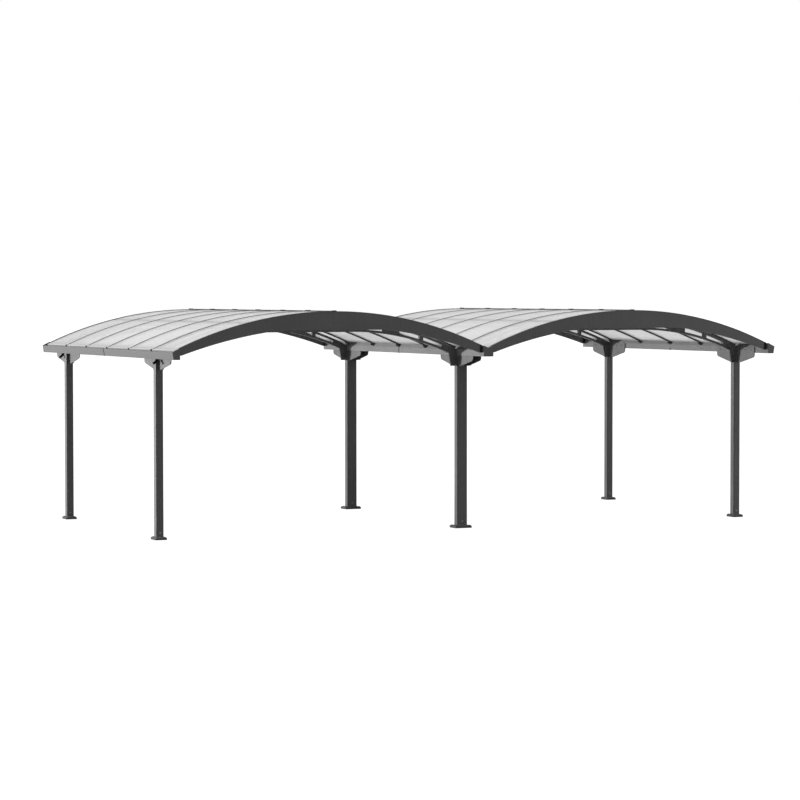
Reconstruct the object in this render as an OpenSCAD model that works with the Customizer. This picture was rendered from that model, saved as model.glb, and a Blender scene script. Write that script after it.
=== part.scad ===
// Double arched carport: two barrel roofs of clear sheet on aluminium ribs, side by side over
// one shared middle gutter, on six posts.
// X runs across the car bays, Y runs front (-) to rear (+), Z is up. Millimetres.
// The origin is on the ground, midway between the post rows, under the middle gutter.

/* [Posts] */
// Distance from the middle post line to each outer post line
post_x = 3462; // [3300:1:3600]
// Distance from the origin to each post row
post_y = 1467; // [1000:1:1700]
// Side of an outer post, and depth of a middle post
post_size = 80; // [60:1:100]
// Width of a middle post
mid_post_w = 120; // [90:1:150]
// Wall of every post tube
post_wall = 4; // [2:0.5:8]
// Radius of the rounded long edges of every post
post_corner = 10; // [9:0.5:14]

/* [Base plates] */
// How far an outer base plate reaches past its post on each side, across the bays
foot_reach_x = 21; // [16:1:36]
// How far a middle base plate reaches past its post on each side, across the bays
mid_foot_reach_x = 36; // [20:1:60]
// How far a base plate reaches past the post, front and rear
foot_reach_y = 37; // [28:1:60]
// Thickness of a base plate
foot_h = 28; // [12:1:40]
// Bevel round the top edge of a base plate
foot_bevel = 7; // [1:0.5:8]
// Diameter of each anchor bolt hole
bolt_d = 12; // [8:0.5:16]
// Distance from a base plate's edge to each bolt hole's centre
bolt_edge = 18; // [14:1:22]

/* [Roof arc] */
// Radius of the top of each arched roof
roof_r = 4140; // [4000:1:4400]
// Height of the crest of each roof
crest_z = 2350; // [2200:1:2700]
// Distance from the middle of the valley to where the ribs and sheets of each arch end
valley_gap = 14; // [10:1:30]
// Width of one sheet bay, from rib to rib
bay = 700; // [600:1:750]
// Number of bays from front to rear
bays = 6; // [4:2:8]
// How far the roof and its fascias end past the last bay
roof_past = 5; // [0:1:15]

/* [Ribs and sheets] */
// Thickness of the roof sheets
sheet_t = 10; // [6:0.5:16]
// Thickness of the flange that caps each rib
rib_cap_t = 6; // [3:0.5:10]
// Width of the flange that caps each rib
rib_cap_w = 40; // [30:1:60]
// Thickness of the web that parts two sheets
rib_web = 8; // [4:0.5:12]
// Depth of the purlins and of each rib's feet under the sheets
rib_depth = 30; // [20:1:40]
// Depth of each rib's bar under the sheets, between its feet
rib_bar_h = 14; // [8:0.5:18]
// Length of each rib's feet, inside the gutters
rib_foot_l = 40; // [20:1:80]
// Width of each rib under the sheets
rib_w = 25; // [16:1:36]
// Width of each purlin between the ribs
purlin_w = 40; // [20:1:60]
// Width of each eave purlin, which closes the gap from a gutter's wall up to the sheets
eave_purlin_w = 20; // [12:1:24]
// Length of the black cover over the joint at each crown
crown_cover_l = 48; // [30:1:80]
// Thickness of the black cover over the joint at each crown
crown_cover_t = 8; // [2:0.5:10]
// Width of the black strip along each crown
crown_strip_w = 40; // [20:1:60]
// Height of the black strip along each crown, over the sheets
crown_strip_h = 10; // [4:0.5:12]
// Length of the plug on each rib end
plug_l = 8; // [4:0.5:9]

/* [Gutters] */
// Half the width of the middle gutter
mid_gutter_half = 56; // [48:1:70]
// Width of an outer gutter along its bottom
gutter_bottom_w = 70; // [60:1:80]
// How far an outer gutter's outer wall leans out at its lip
gutter_lean = 13; // [4:1:20]
// Depth of every gutter, from the roof's underside at its inner wall to its own underside
gutter_depth = 65; // [60:1:80]
// Height of the outer gutter's lip above its underside
gutter_lip_h = 77; // [66:1:85]
// Width of the fold along the outer lip
gutter_fold = 12; // [8:1:16]
// Wall of every gutter
gutter_wall = 3; // [2:0.5:5]
// How far each gutter runs past the fascia
gutter_past = 35; // [20:1:60]
// Thickness of the caps that close the gutters
end_cap_t = 5; // [3:0.5:10]

/* [Fascias] */
// Thickness of a fascia from front to rear
fascia_t = 22; // [10:1:30]
// Width of the block between a fascia's end and the gutter's wall
end_block_w = 30; // [20:1:50]
// Height of a fascia at each end
fascia_end_h = 88; // [80:1:110]
// Height of a fascia at its middle, down to its flat lower edge
fascia_mid_h = 195; // [180:1:215]
// Height that a fascia would have at its middle if its lower arc weren't cut flat
fascia_bow_h = 160; // [150:1:178]

/* [Trusses] */
// Height of each chord
chord_h = 24; // [16:1:30]
// Width of a truss from front to rear
truss_w = 40; // [24:1:50]
// Drop from the roof's crest to the underside of the lower chord
truss_h = 225; // [205:1:245]
// Height of a truss at each end
truss_end_h = 82; // [70:1:100]
// Half the length of the straight middle of the lower chord
tie_flat = 493; // [450:1:540]
// Width of each upright between the chords
upright_w = 40; // [25:1:60]
// Distances from an arch's centre to its uprights
upright_u = [0, 500, 1288];
// Distance from an arch's centre to the middle of each joint plate
joint_plate_u = 932; // [880:1:980]
// Width of each joint plate
joint_plate_w = 190; // [120:1:240]
// Length of the solid end of a truss
truss_solid_w = 92; // [60:1:130]

/* [Brackets] */
// Height of a bracket, from its post's top to the gutter
bracket_h = 113; // [95:1:130]
// Thickness of a bracket's wing plates
wing_t = 9; // [5:0.5:14]
// Half the length of a wing plate
wing_reach = 398; // [300:1:460]
// Height of the upright tip of a wing plate below the gutter
wing_tip_h = 15; // [8:1:30]
// Radius of the rounded corner under each wing tip
wing_corner = 40; // [20:1:50]
// Slope of a wing plate's lower edge, rise over run
wing_slope = 0.22; // [0.15:0.01:0.25]
// Gap from the top of an outer gutter's inner wall down to the top of its wing plate
wing_top_gap = 5; // [2:1:20]
// Gap from the middle gutter's side in to the face of each middle wing plate
mid_wing_inset = 6; // [2:1:12]
// Thickness of the gusset that carries the truss
gusset_t = 24; // [16:1:40]
// How far the gusset reaches in from the gutter's wall, at the truss
gusset_top_w = 90; // [75:1:110]
// How far the gusset reaches in from the gutter's wall, at the post
gusset_foot_w = 65; // [52:1:74]
// Thickness of the plate on each post's top
head_t = 8; // [5:0.5:14]

/* [Rainwater outlets] */
// Outside diameter of an outlet elbow
outlet_d = 26; // [20:1:34]
// Drop from a gutter to the middle of an outlet's knuckle
outlet_drop = 20; // [18:1:32]
// How far an outlet's knuckle stands out around its pipe
outlet_knuckle = 2; // [1:0.5:4]
// Angle an outlet leans out from the vertical, in degrees
outlet_lean = 50; // [30:1:60]
// Length of an outlet's spout, from the middle of its knuckle
outlet_spout = 46; // [30:1:60]
// Gap between a post and an outlet
outlet_gap = 22; // [14:1:60]

/* [Hidden] */

// Sides, and the finishes of each material
LEFT = -1;
RIGHT = 1;
FRONT = -1;
REAR = 1;
PAINT = "dimgray";
CLEAR = "lightgray";
BLACK = "black";

// Smoothness of the big roof arcs, of the small rounds, and a margin for clean cuts
arc_fn = 720;
round_fn = 48;
cut = 1;

// Height of the centre of the roof arc
arc_z = crest_z - roof_r;
// Faces of the sheets, the ribs and the upper chord, as radii: purlins lie on the chord
sheet_out_r = roof_r - rib_cap_t;
sheet_in_r = sheet_out_r - sheet_t;
rib_in_r = sheet_in_r - rib_depth;
chord_out_r = rib_in_r;
chord_in_r = chord_out_r - chord_h;

// Sizes of the base plates across the bays
foot_x = post_size + 2 * foot_reach_x;
mid_foot_x = mid_post_w + 2 * mid_foot_reach_x;

// An outer gutter's inner wall stands over the outer post
outer_gutter_x = post_x + wing_t;
arch_x = (outer_gutter_x + mid_gutter_half) / 2;
span_half = arch_x - mid_gutter_half;

// Ends of the roof and of the gutters
roof_end_y = bay * bays / 2 + roof_past;
gutter_end_y = roof_end_y + gutter_past;
fascia_in_y = roof_end_y - fascia_t;

// Ends of the ribs and sheets, the fascias, the trusses and the gussets, from the arch's centre
roof_reach = arch_x - valley_gap;
fascia_reach = span_half - end_block_w;
gusset_top_u = span_half - gusset_top_w;
gusset_foot_u = span_half - gusset_foot_w;
truss_end_u = gusset_top_u - truss_solid_w;

// Height on an arc of the roof at a distance u from the arch's centre, and the angle there
function arc_height(r, u) = arc_z + sqrt(r * r - u * u);
function angle_at(u) = asin(u / roof_r);
// Radius of the arc that drops by h over a distance u from its crest
function arc_radius(u, h) = (u * u + h * h) / (2 * h);

// The ribs rest on the gutters' walls, and the gutters on the brackets
wall_top_z = arc_height(rib_in_r, span_half + gutter_wall);
gutter_z = wall_top_z - gutter_depth;
post_top = gutter_z - bracket_h;

// Lower edge of the fascias
fascia_flat_z = crest_z - fascia_mid_h;
fascia_low_z = crest_z - fascia_bow_h;
fascia_end_z = arc_height(roof_r, fascia_reach) - fascia_end_h;
fascia_low_r = arc_radius(fascia_reach, fascia_low_z - fascia_end_z);

// Underside of the lower chord
tie_z = crest_z - truss_h;
tie_end_z = arc_height(chord_out_r, gusset_top_u) - truss_end_h;
tie_r = arc_radius(gusset_top_u - tie_flat, tie_z - tie_end_z);

// Extrudes an outline drawn in X and Z, from y0 to y1
module slab(y0, y1) {
    translate([0, y1, 0])
        rotate([90, 0, 0])
            linear_extrude(y1 - y0)
                children();
}

// Outline of a wedge of the roof arc, out to a distance u at the roof's top
module arc_wedge(u) {
    top = roof_r + cut;
    half_w = top * tan(angle_at(u));
    translate([0, arc_z])
        polygon([[0, 0], [half_w, top], [-half_w, top]]);
}

// Outline of a full disc of the roof arc
module arc_disc(r) {
    translate([0, arc_z])
        circle(r, $fn = arc_fn);
}

// Outline of a curved band between two radii
module arc_band(r_out, r_in, u) {
    intersection() {
        difference() {
            arc_disc(r_out);
            arc_disc(r_in);
        }
        arc_wedge(u);
    }
}

// Outline of a strip between two distances u, at every height of the roof
module strip(u0, u1) {
    translate([u0, post_top])
        square([u1 - u0, crest_z - post_top + cut]);
}

// Outline of a rectangle w by d with round corners of radius r
module rounded(w, d, r) {
    square([w - 2 * r, d], center = true);
    square([w, d - 2 * r], center = true);
    for (side_x = [-1, 1], side_y = [-1, 1])
        translate([side_x * (w / 2 - r), side_y * (d / 2 - r)])
            circle(r, $fn = round_fn);
}

// A post tube of width w, at its place
module post(w, x, row) {
    color(PAINT)
        translate([x, row * post_y, foot_h])
            linear_extrude(post_top - foot_h)
                difference() {
                    rounded(w, post_size, post_corner);
                    rounded(w - 2 * post_wall, post_size - 2 * post_wall, post_corner - post_wall);
                }
}

// Outline of a plate with bevelled top corners, w wide
module bevelled(w) {
    polygon([
        [-w / 2, 0], [w / 2, 0], [w / 2, foot_h - foot_bevel],
        [w / 2 - foot_bevel, foot_h], [foot_bevel - w / 2, foot_h], [-w / 2, foot_h - foot_bevel]
    ]);
}

// A base plate size_x wide, with its four anchor bolt holes
module base_plate(size_x, x, row) {
    size_y = post_size + 2 * foot_reach_y;
    translate([x, row * post_y, 0])
        difference() {
            intersection() {
                slab(-size_y / 2, size_y / 2)
                    bevelled(size_x);
                rotate([0, 0, 90])
                    slab(-size_x / 2, size_x / 2)
                        bevelled(size_y);
            }
            for (side_x = [-1, 1], side_y = [-1, 1])
                translate([side_x * (size_x / 2 - bolt_edge), side_y * (size_y / 2 - bolt_edge), -cut])
                    cylinder(d = bolt_d, h = foot_h + 2 * cut, $fn = round_fn);
        }
}

// The base plates of one post row
module base_plates(row) {
    color(PAINT) {
        base_plate(foot_x, -post_x, row);
        base_plate(mid_foot_x, 0, row);
        base_plate(foot_x, post_x, row);
    }
}

// Outline of one half of a wing plate in Y and Z, up to height top
module half_wing_outline(top) {
    lean = atan(wing_slope);
    corner_y = wing_reach - wing_corner;
    corner_z = gutter_z - wing_tip_h;
    edge_y = corner_y + wing_corner * sin(lean);
    edge_z = corner_z - wing_corner * cos(lean);
    foot_y = max(0, edge_y - (edge_z - post_top) / wing_slope);
    polygon([
        [0, post_top], [foot_y, post_top], [edge_y, edge_z], [corner_y, corner_z],
        [wing_reach, corner_z], [wing_reach, top], [0, top]
    ]);
    translate([corner_y, corner_z])
        intersection() {
            circle(wing_corner, $fn = round_fn);
            translate([0, -wing_corner])
                square(wing_corner);
        }
}

// A wing plate whose inner face is at x0, up to height top
module wing_plate(x0, top) {
    translate([x0, 0, 0])
        rotate([90, 0, 90])
            linear_extrude(wing_t)
                for (half = [0, 1])
                    mirror([half, 0])
                        half_wing_outline(top);
}

// Outline of the gusset between a truss and the bracket, drawn from the arch's centre
module gusset_outline(end_u) {
    intersection() {
        polygon([
            [gusset_foot_u, post_top], [end_u, post_top], [end_u, crest_z],
            [gusset_top_u, crest_z], [gusset_top_u, gutter_z]
        ]);
        arc_disc(chord_out_r);
    }
}

// The bracket on an outer post
module outer_bracket(side, row) {
    body_out = post_x + post_size / 2;
    body_in = post_x - post_size / 2;
    color(PAINT)
        mirror([side == LEFT ? 1 : 0, 0, 0])
            translate([0, row * post_y, 0]) {
                wing_plate(outer_gutter_x - wing_t, wall_top_z - wing_top_gap);
                translate([arch_x, 0, 0])
                    slab(-gusset_t / 2, gusset_t / 2)
                        gusset_outline(outer_gutter_x - arch_x - wing_t / 2);
                translate([body_in, -post_size / 2, post_top])
                    cube([post_size, post_size, head_t]);
                translate([outer_gutter_x - wing_t / 2, -post_size / 2, post_top])
                    cube([body_out - outer_gutter_x + wing_t / 2, post_size, gutter_z - post_top]);
            }
}

// The bracket on a middle post, with a gusset to each arch
module middle_bracket(row) {
    wing_x = mid_gutter_half - mid_wing_inset - wing_t;
    color(PAINT)
        translate([0, row * post_y, 0]) {
            for (side = [0, 1])
                mirror([side, 0, 0]) {
                    wing_plate(wing_x, gutter_z);
                    translate([arch_x, 0, 0])
                        mirror([1, 0, 0])
                            slab(-gusset_t / 2, gusset_t / 2)
                                difference() {
                                    gusset_outline(arch_x - wing_x - wing_t / 2);
                                    translate([span_half, gutter_z])
                                        square([mid_gutter_half, crest_z - gutter_z]);
                                }
                }
            translate([-mid_post_w / 2, -post_size / 2, post_top])
                cube([mid_post_w, post_size, head_t]);
            translate([-wing_x - cut, -post_size / 2, post_top])
                cube([2 * (wing_x + cut), post_size, gutter_z - post_top]);
        }
}

// Outline of the open channel of an outer gutter, from its inner wall
module outer_gutter_outline() {
    lip_w = gutter_bottom_w + gutter_lean;
    translate([outer_gutter_x, gutter_z])
        difference() {
            polygon([
                [0, 0], [gutter_bottom_w, 0], [lip_w, gutter_lip_h],
                [lip_w - gutter_fold, gutter_lip_h], [lip_w - gutter_fold, gutter_lip_h - gutter_wall],
                [gutter_wall, gutter_wall], [gutter_wall, gutter_depth], [0, gutter_depth]
            ]);
            polygon([
                [gutter_wall, gutter_wall], [gutter_bottom_w - gutter_wall, gutter_wall],
                [lip_w - gutter_wall, gutter_lip_h - gutter_wall],
                [lip_w - gutter_fold - cut, gutter_lip_h - gutter_wall]
            ]);
        }
}

// Outline of the open channel of the middle gutter
module middle_gutter_outline() {
    translate([0, gutter_z])
        difference() {
            translate([-mid_gutter_half, 0])
                square([2 * mid_gutter_half, gutter_depth]);
            translate([gutter_wall - mid_gutter_half, gutter_wall])
                square([2 * (mid_gutter_half - gutter_wall), gutter_depth]);
        }
}

// One length of gutter, from the middle joint to its end cap
module gutter(side, row) {
    y_end = gutter_end_y - end_cap_t;
    color(PAINT)
        mirror([side == LEFT ? 1 : 0, 0, 0])
            slab(row == FRONT ? -y_end : 0, row == FRONT ? 0 : y_end)
                if (side == 0)
                    middle_gutter_outline();
                else
                    outer_gutter_outline();
}

// Outline of a cheek over an outer gutter's inner wall, up to just under the roof's top
module cheek_outline() {
    translate([outer_gutter_x, wall_top_z])
        square([gutter_wall, arc_height(roof_r, span_half + gutter_wall) - cut - wall_top_z]);
}

// Outline of an outer gutter's end cap, whose top follows the roof
module outer_cap_outline() {
    lip_w = gutter_bottom_w + gutter_lean;
    intersection() {
        translate([outer_gutter_x, gutter_z])
            polygon([
                [0, 0], [gutter_bottom_w, 0], [lip_w, gutter_lip_h], [lip_w, crest_z - gutter_z],
                [0, crest_z - gutter_z]
            ]);
        translate([arch_x, 0])
            arc_disc(roof_r);
    }
}

// Outline of the middle gutter's end cap, with a valley between the two roofs
module middle_cap_outline() {
    intersection() {
        translate([-mid_gutter_half, gutter_z])
            square([2 * mid_gutter_half, crest_z - gutter_z]);
        for (side = [LEFT, RIGHT])
            translate([side * arch_x, 0])
                arc_disc(roof_r);
    }
}

// The caps that close the three gutters at the front or at the rear, with a cheek back to each
// fascia over the gutter's wall
module gutter_caps(row) {
    color(PAINT)
        mirror([0, row == FRONT ? 1 : 0, 0]) {
            slab(gutter_end_y - end_cap_t, gutter_end_y) {
                middle_cap_outline();
                outer_cap_outline();
                mirror([1, 0])
                    outer_cap_outline();
            }
            slab(roof_end_y, gutter_end_y - end_cap_t / 2)
                for (side = [0, 1])
                    mirror([side, 0]) {
                        cheek_outline();
                        translate([2 * arch_x, 0])
                            mirror([1, 0])
                                cheek_outline();
                    }
        }
}

// Outline of a fascia from u0 to u1: arched above, arched with a flat middle below
module fascia_outline(u0, u1) {
    difference() {
        intersection() {
            arc_disc(roof_r);
            strip(u0, u1);
        }
        intersection() {
            translate([0, fascia_low_z - fascia_low_r])
                circle(fascia_low_r, $fn = arc_fn);
            translate([-roof_r, 0])
                square([2 * roof_r, fascia_flat_z]);
        }
    }
}

// Puts its children on one arch, at the front or at the rear
module on_arch(side, row) {
    translate([side * arch_x, 0, 0])
        mirror([0, row == FRONT ? 1 : 0, 0])
            children();
}

// One half of the crescent board across an end of an arch, joined to the other at the crown
module fascia(side, row, half) {
    color(PAINT)
        on_arch(side, row)
            mirror([half == LEFT ? 1 : 0, 0, 0])
                slab(fascia_in_y, roof_end_y)
                    fascia_outline(0, fascia_reach);
}

// The blocks between the fascias' left or right ends and the gutters' walls
module fascia_end_blocks(end) {
    color(end == LEFT ? PAINT : BLACK)
        for (side = [LEFT, RIGHT], row = [FRONT, REAR])
            on_arch(side, row)
                mirror([end == LEFT ? 1 : 0, 0, 0])
                    slab(fascia_in_y, roof_end_y)
                        intersection() {
                            arc_disc(roof_r);
                            translate([fascia_reach, fascia_end_z])
                                square([end_block_w, crest_z - fascia_end_z]);
                        }
}

// Outline of the lower chord
module tie_outline(u) {
    for (end = [0, 1])
        mirror([end, 0, 0])
            intersection() {
                translate([tie_flat, tie_z - tie_r])
                    difference() {
                        circle(tie_r + chord_h, $fn = arc_fn);
                        circle(tie_r, $fn = arc_fn);
                    }
                strip(tie_flat, u);
            }
    translate([-tie_flat, tie_z])
        square([2 * tie_flat, chord_h]);
}

// Outline of the space between the chords, chords included, from u0 to u1
module web_outline(u0, u1) {
    intersection() {
        difference() {
            arc_disc(chord_out_r);
            translate([tie_flat, tie_z - tie_r])
                circle(tie_r, $fn = arc_fn);
            translate([0, tie_z - roof_r])
                square([tie_flat, roof_r]);
        }
        strip(u0, u1);
    }
}

// Outline of one truss: two chords, uprights, joint plates and solid ends
module truss_outline() {
    intersection() {
        difference() {
            arc_disc(chord_out_r);
            arc_disc(chord_in_r);
        }
        strip(-gusset_top_u, gusset_top_u);
    }
    tie_outline(gusset_top_u);
    for (end = [0, 1])
        mirror([end, 0, 0]) {
            for (u = upright_u)
                web_outline(max(0, u - upright_w / 2), u + upright_w / 2);
            web_outline(joint_plate_u - joint_plate_w / 2, joint_plate_u + joint_plate_w / 2);
            web_outline(truss_end_u, gusset_top_u);
        }
}

// The middle length of the truss across one arch, between its two joint plates
module truss_middle(side, row) {
    color(PAINT)
        translate([side * arch_x, row * post_y, 0])
            slab(-truss_w / 2, truss_w / 2)
                intersection() {
                    truss_outline();
                    strip(-joint_plate_u, joint_plate_u);
                }
}

// The end lengths of the trusses at one post row, from the joint plates to the gussets
module truss_ends(row) {
    color(PAINT)
        for (side = [LEFT, RIGHT])
            translate([side * arch_x, row * post_y, 0])
                slab(-truss_w / 2, truss_w / 2)
                    difference() {
                        truss_outline();
                        strip(-joint_plate_u, joint_plate_u);
                    }
}

// One rib: a cap flange over the sheets, a web between them and a bar under them, with deeper feet
module rib(y) {
    rib_foot_u = span_half - rib_foot_l;
    slab(y - rib_cap_w / 2, y + rib_cap_w / 2)
        arc_band(roof_r, sheet_out_r, roof_reach);
    slab(y - rib_web / 2, y + rib_web / 2)
        arc_band(sheet_out_r, sheet_in_r, roof_reach);
    slab(y - rib_w / 2, y + rib_w / 2)
        difference() {
            arc_band(sheet_in_r, rib_in_r, roof_reach);
            intersection() {
                arc_disc(sheet_in_r - rib_bar_h);
                strip(-rib_foot_u, rib_foot_u);
            }
        }
}

// The ribs of one arch, between the front and rear fascias
module ribs(side) {
    color(PAINT)
        translate([side * arch_x, 0, 0])
            for (i = [1 : bays - 1])
                rib((i - bays / 2) * bay);
}

// Outline of a purlin, between the sheets and the trusses' joint plates
module purlin_outline() {
    intersection() {
        difference() {
            arc_disc(sheet_in_r);
            arc_disc(rib_in_r);
        }
        strip(joint_plate_u - purlin_w / 2, joint_plate_u + purlin_w / 2);
    }
}

// Outline of an eave purlin, from the top of a gutter's wall up to the sheets
module eave_purlin_outline() {
    intersection() {
        arc_disc(sheet_in_r);
        translate([span_half, wall_top_z])
            square([eave_purlin_w, 2 * rib_depth]);
    }
}

// The purlins, in lengths between the ribs and fascias
module purlins() {
    color(PAINT)
        for (side = [LEFT, RIGHT], end = [0, 1], i = [0 : bays - 1]) {
            y0 = (i - bays / 2) * bay + rib_w / 2;
            y1 = y0 + bay - rib_w;
            translate([side * arch_x, 0, 0])
                mirror([end, 0, 0])
                    slab(max(y0, -fascia_in_y), min(y1, fascia_in_y)) {
                        purlin_outline();
                        eave_purlin_outline();
                    }
        }
}

// The sheets of one arch, one to a bay
module roof_sheets(side) {
    color(CLEAR)
        translate([side * arch_x, 0, 0])
            for (i = [0 : bays - 1]) {
                y0 = (i - bays / 2) * bay + rib_web / 2;
                y1 = y0 + bay - rib_web;
                slab(max(y0, -fascia_in_y), min(y1, fascia_in_y))
                    arc_band(sheet_out_r, sheet_in_r, roof_reach);
            }
}

// The black plug on each end of each rib
module rib_end_plugs() {
    color(BLACK)
        for (side = [LEFT, RIGHT], end = [0, 1], i = [1 : bays - 1])
            translate([side * arch_x, (i - bays / 2) * bay, 0])
                mirror([end, 0, 0])
                    slab(-rib_w / 2, rib_w / 2)
                        translate([0, arc_z])
                            rotate(-angle_at(roof_reach))
                                translate([0, rib_in_r])
                                    square([plug_l, roof_r - rib_in_r]);
}

// Outline of the cover over a joint at the crown of an arch
module crown_cover_outline() {
    intersection() {
        difference() {
            arc_disc(roof_r + crown_cover_t);
            arc_disc(roof_r);
        }
        translate([-crown_cover_l / 2, crest_z - crown_cover_t])
            square([crown_cover_l, 2 * crown_cover_t]);
    }
}

// The covers over the crown joints of the ribs and fascias
module crown_covers() {
    color(BLACK)
        for (side = [LEFT, RIGHT])
            translate([side * arch_x, 0, 0]) {
                for (i = [1 : bays - 1])
                    translate([0, (i - bays / 2) * bay, 0])
                        slab(-rib_cap_w / 2, rib_cap_w / 2)
                            crown_cover_outline();
                for (end = [0, 1])
                    mirror([0, end, 0])
                        slab(fascia_in_y, roof_end_y)
                            crown_cover_outline();
            }
}

// The strips along each crown, in lengths between the ribs' caps
module crown_strips() {
    color(BLACK)
        for (side = [LEFT, RIGHT], i = [0 : bays - 1]) {
            y0 = (i - bays / 2) * bay + rib_cap_w / 2;
            y1 = y0 + bay - rib_cap_w;
            translate([side * arch_x, 0, 0])
                slab(i == 0 ? -fascia_in_y : y0, i == bays - 1 ? fascia_in_y : y1)
                    intersection() {
                        difference() {
                            arc_disc(sheet_out_r + crown_strip_h);
                            arc_disc(sheet_out_r);
                        }
                        translate([-crown_strip_w / 2, crest_z - truss_h])
                            square([crown_strip_w, 2 * truss_h]);
                    }
        }
}

// An outlet elbow under an outer gutter, which throws the water outwards
module outlet(side, row) {
    x = outer_gutter_x + gutter_bottom_w / 2;
    y = post_y + post_size / 2 + outlet_gap + outlet_d / 2;
    color(BLACK)
        mirror([side == LEFT ? 1 : 0, 0, 0])
            mirror([0, row == FRONT ? 1 : 0, 0])
                translate([x, y, gutter_z - outlet_drop]) {
                    cylinder(d = outlet_d, h = outlet_drop, $fn = round_fn);
                    sphere(d = outlet_d + 2 * outlet_knuckle, $fn = round_fn);
                    rotate([0, 180 - outlet_lean, 0])
                        cylinder(d = outlet_d, h = outlet_spout, $fn = round_fn);
                }
}

module rainwater_outlets() {
    for (side = [LEFT, RIGHT], row = [FRONT, REAR])
        outlet(side, row);
}

post(post_size, -post_x, FRONT);  // post_front_left
post(mid_post_w, 0, FRONT);  // post_front_middle
post(post_size, post_x, FRONT);  // post_front_right
post(post_size, -post_x, REAR);  // post_rear_left
post(mid_post_w, 0, REAR);  // post_rear_middle
post(post_size, post_x, REAR);  // post_rear_right
base_plates(FRONT);  // base_plates_front
base_plates(REAR);  // base_plates_rear
outer_bracket(LEFT, FRONT);  // bracket_front_left
middle_bracket(FRONT);  // bracket_front_middle
outer_bracket(RIGHT, FRONT);  // bracket_front_right
outer_bracket(LEFT, REAR);  // bracket_rear_left
middle_bracket(REAR);  // bracket_rear_middle
outer_bracket(RIGHT, REAR);  // bracket_rear_right
gutter(LEFT, FRONT);  // gutter_left_front
gutter(LEFT, REAR);  // gutter_left_rear
gutter(0, FRONT);  // gutter_middle_front
gutter(0, REAR);  // gutter_middle_rear
gutter(RIGHT, FRONT);  // gutter_right_front
gutter(RIGHT, REAR);  // gutter_right_rear
gutter_caps(FRONT);  // gutter_caps_front
gutter_caps(REAR);  // gutter_caps_rear
fascia(LEFT, FRONT, LEFT);  // fascia_front_left_outer
fascia(LEFT, FRONT, RIGHT);  // fascia_front_left_inner
fascia(RIGHT, FRONT, LEFT);  // fascia_front_right_inner
fascia(RIGHT, FRONT, RIGHT);  // fascia_front_right_outer
fascia(LEFT, REAR, LEFT);  // fascia_rear_left_outer
fascia(LEFT, REAR, RIGHT);  // fascia_rear_left_inner
fascia(RIGHT, REAR, LEFT);  // fascia_rear_right_inner
fascia(RIGHT, REAR, RIGHT);  // fascia_rear_right_outer
truss_middle(LEFT, FRONT);  // truss_front_left
truss_middle(RIGHT, FRONT);  // truss_front_right
truss_middle(LEFT, REAR);  // truss_rear_left
truss_middle(RIGHT, REAR);  // truss_rear_right
truss_ends(FRONT);  // truss_ends_front
truss_ends(REAR);  // truss_ends_rear
ribs(LEFT);  // ribs_left
ribs(RIGHT);  // ribs_right
purlins();
roof_sheets(LEFT);  // roof_sheets_left
roof_sheets(RIGHT);  // roof_sheets_right
rib_end_plugs();
fascia_end_blocks(LEFT);  // fascia_end_blocks_left
fascia_end_blocks(RIGHT);  // fascia_end_blocks_right
crown_covers();
crown_strips();
rainwater_outlets();
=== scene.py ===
"""Dresses the double arched carport: finishes, fasteners, seals, floor, lamps and camera.

Everything is in metres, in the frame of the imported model. X runs across the car bays, Y from
front to rear, and Z up from the ground.
"""

import itertools
import logging
import math
from dataclasses import dataclass
from enum import Enum
from typing import Callable, Iterator, Sequence, Union

import bmesh
import bpy
from mathutils import Matrix, Vector


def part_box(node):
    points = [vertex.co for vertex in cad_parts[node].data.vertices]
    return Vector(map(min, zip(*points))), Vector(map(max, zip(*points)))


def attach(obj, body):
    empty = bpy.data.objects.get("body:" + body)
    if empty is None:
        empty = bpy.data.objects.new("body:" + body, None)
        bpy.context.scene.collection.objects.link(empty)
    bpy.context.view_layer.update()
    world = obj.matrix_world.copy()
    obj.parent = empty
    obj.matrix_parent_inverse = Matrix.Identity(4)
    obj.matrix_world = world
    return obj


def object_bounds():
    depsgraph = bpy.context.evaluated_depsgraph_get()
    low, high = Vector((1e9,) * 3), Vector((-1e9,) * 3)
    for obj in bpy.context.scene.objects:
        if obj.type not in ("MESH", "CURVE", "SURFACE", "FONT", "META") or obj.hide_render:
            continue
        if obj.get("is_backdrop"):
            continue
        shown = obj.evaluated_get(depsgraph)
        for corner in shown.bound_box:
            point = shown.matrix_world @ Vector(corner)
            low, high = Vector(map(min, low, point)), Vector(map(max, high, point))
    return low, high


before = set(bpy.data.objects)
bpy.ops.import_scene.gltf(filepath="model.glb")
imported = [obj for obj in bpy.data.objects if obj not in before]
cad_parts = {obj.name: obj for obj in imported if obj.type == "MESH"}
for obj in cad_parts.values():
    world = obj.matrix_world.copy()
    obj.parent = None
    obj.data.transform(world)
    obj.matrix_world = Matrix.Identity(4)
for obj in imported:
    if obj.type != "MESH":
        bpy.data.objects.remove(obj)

CAD_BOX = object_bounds()
BODY = "root"
AXIS_X = Vector((1.0, 0.0, 0.0))
AXIS_Y = Vector((0.0, 1.0, 0.0))
AXIS_Z = Vector((0.0, 0.0, 1.0))

SIDES = ("left", "right")
COLUMNS = ("left", "middle", "right")
ROWS = ("front", "rear")
HALVES = ("outer", "inner")
WHITE = (1.0, 1.0, 1.0, 1.0)
SMOOTH_ANGLE = math.radians(35.0)
BEVEL_ANGLE = math.radians(40.0)
WELD_GAP = 0.00002

Triple = tuple[float, float, float]
Colour = Triple
Pair = tuple[float, float]
Operand = Union["Value", float]
Corner = bmesh.types.BMVert

log = logging.getLogger("carport")


def named(pattern: str, *choices: Sequence[str]) -> tuple[str, ...]:
    """Returns the names that a pattern gives for every mix of the choices."""
    return tuple(pattern.format(*mix) for mix in itertools.product(*choices))


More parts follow.
